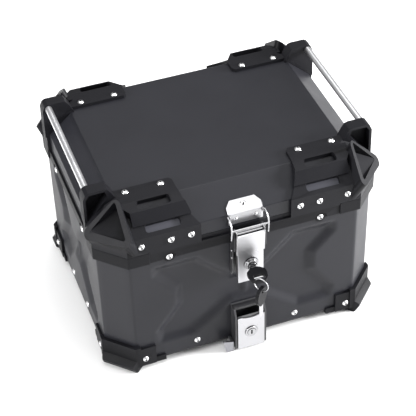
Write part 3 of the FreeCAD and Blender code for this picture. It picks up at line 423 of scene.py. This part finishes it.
def lid_shell():
    """The lid's sheet: skirt, bevel and top panel outside, and the same a sheet's thickness in."""
    low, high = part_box("lid_shell")
    top = high.z
    bend = top - BEVEL_RISE
    rings = []
    for inset in (0, SHEET):
        half_x, half_y = HALF_WIDTH - inset, HALF_DEPTH - inset
        cut = CORNER_CUT - CUT_SHRINK * inset
        panel_sizes = (size - share * inset for size, share in
                       zip((PANEL_HALF_X, PANEL_HALF_Y, PANEL_CUT), PANEL_INSET))
        rings += [lid_ring(half_x, half_y, cut, low.z),
                  lid_ring(half_x, half_y, cut, bend - FOLD_DROP * inset),
                  lid_ring(*panel_sizes, top - inset)]
    verts = [corner for ring in rings for corner in ring]
    skirt, fold, panel, inner_skirt, inner_fold, inner_panel = (
        [LID_SIDES * ring + k for k in range(LID_SIDES)] for ring in range(len(rings)))
    faces = [tuple(panel), tuple(inner_panel)]
    for lower, upper in ((skirt, fold), (fold, panel), (inner_skirt, inner_fold),
                         (inner_fold, inner_panel), (skirt, inner_skirt)):
        for k in range(LID_SIDES):
            after = (k + 1) % LID_SIDES
            faces.append((lower[k], lower[after], upper[after], upper[k]))
    piece = made("lid_shell_folded", verts, faces, "painted_shell", "lid")
    face_outwards(piece)
    soften(piece, LID_FOLD, 3, 20)
    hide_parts("lid_shell")


lid_shell()

# ---------------------------------------------------------------- plates under the guards, painted lighter as painted light on the slot floors

LIT_PLATE_X, LIT_PLATE_UP = (90 * MM, 154 * MM), (1 * MM, 37 * MM)
LIT_PLATE_LIFT, LIT_PLATE_THICK = 0.2 * MM, 0.7 * MM
# the plates' paint is the shell's paint made lighter, painted light on the shaded slot floors
LIT_PLATE_TONE = 3.2
BOX_FACES = ((0, 1, 3, 2), (4, 6, 7, 5), (0, 4, 5, 1), (2, 3, 7, 6), (0, 2, 6, 4), (1, 5, 7, 3))


def painted_light_plates():
    """Thin plates on the lid's bevel in a lighter copy of the shell's paint: painted light on the
    floor seen through the slot and window of each guard.
    """
    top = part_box("lid_shell")[1].z
    slope = Vector((0, PANEL_HALF_Y - HALF_DEPTH, BEVEL_RISE)).normalized()
    verts, faces = [], []
    for side in (-1, 1):
        for end in (-1, 1):
            up_bevel = Vector((0, end * slope.y, slope.z))
            out = Vector((0, end * slope.z, -slope.y))
            foot = Vector((0, MIDDLE_Y + end * HALF_DEPTH, top - BEVEL_RISE))
            start = len(verts)
            verts += [foot + up_bevel * far + out * lift + Vector((side * x, 0, 0))
                      for lift in (LIT_PLATE_LIFT, LIT_PLATE_LIFT + LIT_PLATE_THICK)
                      for x in LIT_PLATE_X for far in LIT_PLATE_UP]
            faces += [tuple(start + k for k in face) for face in BOX_FACES]
    # a lighter copy of the shell's paint: painted light, not a different finish
    piece = made("guard_backing_plates", verts, faces, "painted_shell", "lid",
                 painted_shell("painted_light_paint", LIT_PLATE_TONE), smooth=False)
    face_outwards(piece)


painted_light_plates()

# ---------------------------------------------------------------- CAD nodes shown as they are

EDGE_WIDTHS = {  # rounded edge by the start of a node's name
    "lid_guard": 1.3 * MM, "foot_guard": 1.0 * MM, "rim_corner": 0.7 * MM, "rim_strip": 0.6 * MM,
    "side_bar": 0.4 * MM, "hinge_leaf": 0.35 * MM,
    "keeper": 0.35 * MM, "latch_lever": 0.35 * MM, "latch_base": 0.3 * MM,
    "release_housing": 0.5 * MM, "release_plate": 0.45 * MM, "release_bracket": 0.4 * MM,
    "release_lock_housing": 0.4 * MM, "release_plug": 0.3 * MM,
    "lock_housing": 0.5 * MM, "lock_plug": 0.3 * MM, "lock_nut": 0.4 * MM,
    "key_head": 0.9 * MM, "spare_key_head": 0.9 * MM,
}


def show_cad_nodes():
    slots = {part["node"]: part["material_slot"] for part in frame["record"]["subparts"]}
    for name, node in nodes.items():
        dress(node, MATERIALS[slots[name]])
        for start, width in EDGE_WIDTHS.items():
            if name.startswith(start):
                soften(node, width)


show_cad_nodes()

# ---------------------------------------------------------------- floor, light and camera

FLOOR_REACH = 8.0
WORLD_STRENGTH = 0.32
CASE_MIDDLE = (0.0, -0.1, 0.12)


def floor():
    mesh = bpy.data.meshes.new("floor")
    ground = [(x * FLOOR_REACH, y * FLOOR_REACH, 0)
              for x, y in ((-1, -1), (1, -1), (1, 1), (-1, 1))]
    mesh.from_pydata(ground, [], [(0, 1, 2, 3)])
    piece = bpy.data.objects.new("floor", mesh)
    bpy.context.scene.collection.objects.link(piece)
    m = Nodes("floor_white")
    m.surface(Roughness=0.9)
    m.colour(m.blend_colours(m.noise(3, 2), (0.90, 0.90, 0.90), (0.92, 0.92, 0.92)))
    mesh.materials.append(m.material)


def softbox(name, place, target, side, power):
    """A square area light of a given side and power, turned towards its target."""
    light = bpy.data.lights.new(name, "AREA")
    light.shape = "RECTANGLE"
    light.size = light.size_y = side
    light.energy = power
    lamp = bpy.data.objects.new(name, light)
    lamp.location = place
    lamp.rotation_euler = (Vector(target) - Vector(place)).to_track_quat("-Z", "Y").to_euler()
    bpy.context.scene.collection.objects.link(lamp)


def light_and_world():
    world = bpy.data.worlds.new("studio")
    world.use_nodes = True
    background = world.node_tree.nodes["Background"]
    background.inputs["Color"].default_value = (1.0, 1.0, 1.0, 1)
    background.inputs["Strength"].default_value = WORLD_STRENGTH
    bpy.context.scene.world = world
    softbox("overhead", (0.3, 0.1, 2.6), (0.2, 0.0, 0.0), 3.4, 95)
    softbox("key_right_front", (2.3, -0.85, 0.8), CASE_MIDDLE, 0.8, 165)
    softbox("fill_left", (-2.2, -0.5, 0.9), CASE_MIDDLE, 1.0, 50)
    bpy.context.scene.view_settings.view_transform = "Standard"


CAMERA_PLACE = Vector((-0.4948, -1.4554, 1.4802))
AZIMUTH, ELEVATION, ROLL = (math.radians(a) for a in (-18.5604, 40.9961, -1.9541))
LENS, SENSOR_WIDTH = 118.07, 36


def camera():
    back = Vector((math.sin(AZIMUTH) * math.cos(ELEVATION),
                   -math.cos(AZIMUTH) * math.cos(ELEVATION), math.sin(ELEVATION)))
    level = Vector((0, 0, 1)).cross(back).normalized()
    right = level * math.cos(ROLL) + back.cross(level) * math.sin(ROLL)
    up = back.cross(right)
    turn = Matrix((right, up, back)).transposed().to_4x4()
    data = bpy.data.cameras.new("camera")
    data.lens = LENS
    data.sensor_width = SENSOR_WIDTH
    eye = bpy.data.objects.new("camera", data)
    eye.matrix_world = Matrix.Translation(CAMERA_PLACE) @ turn
    bpy.context.scene.collection.objects.link(eye)
    bpy.context.scene.camera = eye


floor()
light_and_world()
camera()
